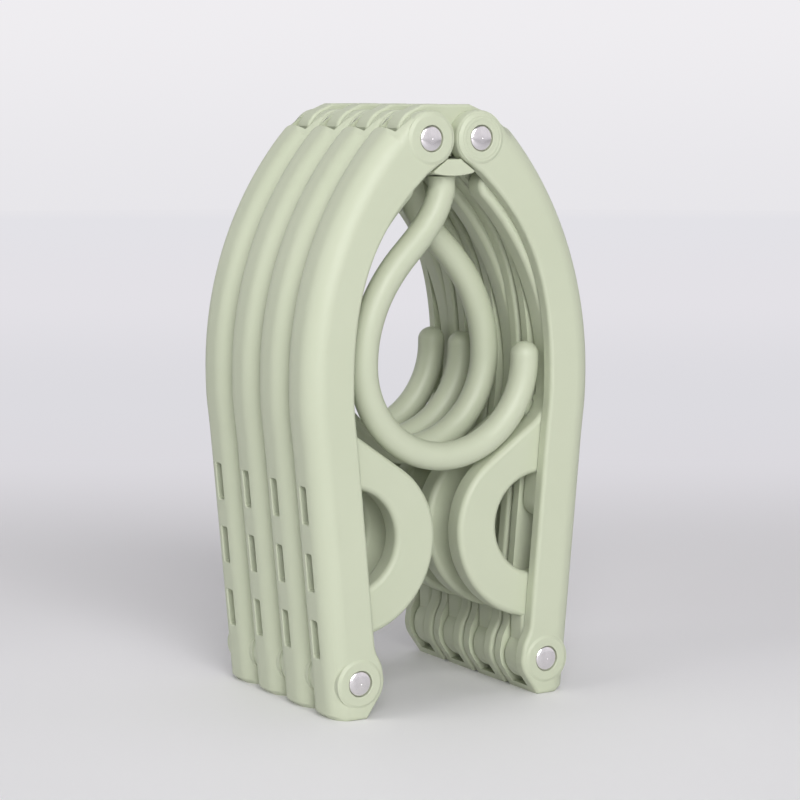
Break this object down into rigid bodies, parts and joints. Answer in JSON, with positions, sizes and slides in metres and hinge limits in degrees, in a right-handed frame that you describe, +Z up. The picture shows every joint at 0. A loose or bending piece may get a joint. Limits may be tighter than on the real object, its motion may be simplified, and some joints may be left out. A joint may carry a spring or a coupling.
{
  "type": "folding travel hanger",
  "caption": "Folding travel hangers standing folded in a row, each with a hub, a swivel hook, two channel arms on rivets and two trouser bars nested in the arms.",
  "frame": {"origin": "on the floor, under the middle of the row of hangers", "axes": "+Z up, -Y towards the front hanger's face, +X towards the right arms"},
  "size_m": [0.104, 0.0756, 0.1885],
  "materials": {
    "hanger_plastic": "fine matte moulded plastic, sage green",
    "rivet_steel": "bright domed steel"
  },
  "bodies": {
    "hanger_1": {"hub_1": "hanger_plastic", "left_hub_rivet_1": "rivet_steel", "right_hub_rivet_1": "rivet_steel"},
    "hook_1": {"hook_1": "hanger_plastic"},
    "left_arm_1": {"left_arm_1": "hanger_plastic", "left_tip_rivet_1": "rivet_steel"},
    "right_arm_1": {"right_arm_1": "hanger_plastic", "right_tip_rivet_1": "rivet_steel"},
    "left_bar_1": {"left_bar_1": "hanger_plastic"},
    "right_bar_1": {"right_bar_1": "hanger_plastic"},
    "hanger_2": {"hub_2": "hanger_plastic", "left_hub_rivet_2": "rivet_steel", "right_hub_rivet_2": "rivet_steel"},
    "hook_2": {"hook_2": "hanger_plastic"},
    "left_arm_2": {"left_arm_2": "hanger_plastic", "left_tip_rivet_2": "rivet_steel"},
    "right_arm_2": {"right_arm_2": "hanger_plastic", "right_tip_rivet_2": "rivet_steel"},
    "left_bar_2": {"left_bar_2": "hanger_plastic"},
    "right_bar_2": {"right_bar_2": "hanger_plastic"},
    "hanger_3": {"hub_3": "hanger_plastic", "left_hub_rivet_3": "rivet_steel", "right_hub_rivet_3": "rivet_steel"},
    "hook_3": {"hook_3": "hanger_plastic"},
    "left_arm_3": {"left_arm_3": "hanger_plastic", "left_tip_rivet_3": "rivet_steel"},
    "right_arm_3": {"right_arm_3": "hanger_plastic", "right_tip_rivet_3": "rivet_steel"},
    "left_bar_3": {"left_bar_3": "hanger_plastic"},
    "right_bar_3": {"right_bar_3": "hanger_plastic"},
    "hanger_4": {"hub_4": "hanger_plastic", "left_hub_rivet_4": "rivet_steel", "right_hub_rivet_4": "rivet_steel"},
    "hook_4": {"hook_4": "hanger_plastic"},
    "left_arm_4": {"left_arm_4": "hanger_plastic", "left_tip_rivet_4": "rivet_steel"},
    "right_arm_4": {"right_arm_4": "hanger_plastic", "right_tip_rivet_4": "rivet_steel"},
    "left_bar_4": {"left_bar_4": "hanger_plastic"},
    "right_bar_4": {"right_bar_4": "hanger_plastic"}
  },
  "joints": [
    {"name": "hook_swivel_1", "type": "hinge", "parent": "hanger_1", "child": "hook_1", "pos_m": [0, -0.0285, 0.1665], "axis": [0, 0, 1], "range_deg": [-8, 8]},
    {"name": "left_arm_fold_1", "type": "hinge", "parent": "hanger_1", "child": "left_arm_1", "pos_m": [-0.009, -0.0285, 0.178], "axis": [0, 1, 0], "range_deg": [0, 65]},
    {"name": "right_arm_fold_1", "type": "hinge", "parent": "hanger_1", "child": "right_arm_1", "pos_m": [0.009, -0.0285, 0.178], "axis": [0, -1, 0], "range_deg": [0, 65]},
    {"name": "left_bar_fold_1", "type": "hinge", "parent": "left_arm_1", "child": "left_bar_1", "pos_m": [-0.0344, -0.0285, 0.0115], "axis": [0, 1, 0], "range_deg": [0, 9.75]},
    {"name": "right_bar_fold_1", "type": "hinge", "parent": "right_arm_1", "child": "right_bar_1", "pos_m": [0.0344, -0.0285, 0.0115], "axis": [0, -1, 0], "range_deg": [0, 9.75]},
    {"name": "part_from_front_2", "type": "slide", "parent": "hanger_1", "child": "hanger_2", "axis": [0, 1, 0], "range_m": [0, 0.1]},
    {"name": "hook_swivel_2", "type": "hinge", "parent": "hanger_2", "child": "hook_2", "pos_m": [0, -0.0095, 0.1665], "axis": [0, 0, 1], "range_deg": [-8, 8]},
    {"name": "left_arm_fold_2", "type": "hinge", "parent": "hanger_2", "child": "left_arm_2", "pos_m": [-0.009, -0.0095, 0.178], "axis": [0, 1, 0], "range_deg": [0, 65]},
    {"name": "right_arm_fold_2", "type": "hinge", "parent": "hanger_2", "child": "right_arm_2", "pos_m": [0.009, -0.0095, 0.178], "axis": [0, -1, 0], "range_deg": [0, 65]},
    {"name": "left_bar_fold_2", "type": "hinge", "parent": "left_arm_2", "child": "left_bar_2", "pos_m": [-0.0344, -0.0095, 0.0115], "axis": [0, 1, 0], "range_deg": [0, 9.75]},
    {"name": "right_bar_fold_2", "type": "hinge", "parent": "right_arm_2", "child": "right_bar_2", "pos_m": [0.0344, -0.0095, 0.0115], "axis": [0, -1, 0], "range_deg": [0, 9.75]},
    {"name": "part_from_front_3", "type": "slide", "parent": "hanger_2", "child": "hanger_3", "axis": [0, 1, 0], "range_m": [0, 0.1]},
    {"name": "hook_swivel_3", "type": "hinge", "parent": "hanger_3", "child": "hook_3", "pos_m": [0, 0.0095, 0.1665], "axis": [0, 0, 1], "range_deg": [-8, 8]},
    {"name": "left_arm_fold_3", "type": "hinge", "parent": "hanger_3", "child": "left_arm_3", "pos_m": [-0.009, 0.0095, 0.178], "axis": [0, 1, 0], "range_deg": [0, 65]},
    {"name": "right_arm_fold_3", "type": "hinge", "parent": "hanger_3", "child": "right_arm_3", "pos_m": [0.009, 0.0095, 0.178], "axis": [0, -1, 0], "range_deg": [0, 65]},
    {"name": "left_bar_fold_3", "type": "hinge", "parent": "left_arm_3", "child": "left_bar_3", "pos_m": [-0.0344, 0.0095, 0.0115], "axis": [0, 1, 0], "range_deg": [0, 9.75]},
    {"name": "right_bar_fold_3", "type": "hinge", "parent": "right_arm_3", "child": "right_bar_3", "pos_m": [0.0344, 0.0095, 0.0115], "axis": [0, -1, 0], "range_deg": [0, 9.75]},
    {"name": "part_from_front_4", "type": "slide", "parent": "hanger_3", "child": "hanger_4", "axis": [0, 1, 0], "range_m": [0, 0.1]},
    {"name": "hook_swivel_4", "type": "hinge", "parent": "hanger_4", "child": "hook_4", "pos_m": [0, 0.0285, 0.1665], "axis": [0, 0, 1], "range_deg": [-8, 8]},
    {"name": "left_arm_fold_4", "type": "hinge", "parent": "hanger_4", "child": "left_arm_4", "pos_m": [-0.009, 0.0285, 0.178], "axis": [0, 1, 0], "range_deg": [0, 65]},
    {"name": "right_arm_fold_4", "type": "hinge", "parent": "hanger_4", "child": "right_arm_4", "pos_m": [0.009, 0.0285, 0.178], "axis": [0, -1, 0], "range_deg": [0, 65]},
    {"name": "left_bar_fold_4", "type": "hinge", "parent": "left_arm_4", "child": "left_bar_4", "pos_m": [-0.0344, 0.0285, 0.0115], "axis": [0, 1, 0], "range_deg": [0, 9.75]},
    {"name": "right_bar_fold_4", "type": "hinge", "parent": "right_arm_4", "child": "right_bar_4", "pos_m": [0.0344, 0.0285, 0.0115], "axis": [0, -1, 0], "range_deg": [0, 9.75]}
  ],
  "couplings": [
    {"joint": "left_bar_fold_1", "follows": "left_arm_fold_1", "ratio": 0.15},
    {"joint": "right_bar_fold_1", "follows": "right_arm_fold_1", "ratio": 0.15},
    {"joint": "left_bar_fold_2", "follows": "left_arm_fold_2", "ratio": 0.15},
    {"joint": "right_bar_fold_2", "follows": "right_arm_fold_2", "ratio": 0.15},
    {"joint": "left_bar_fold_3", "follows": "left_arm_fold_3", "ratio": 0.15},
    {"joint": "right_bar_fold_3", "follows": "right_arm_fold_3", "ratio": 0.15},
    {"joint": "left_bar_fold_4", "follows": "left_arm_fold_4", "ratio": 0.15},
    {"joint": "right_bar_fold_4", "follows": "right_arm_fold_4", "ratio": 0.15}
  ]
}
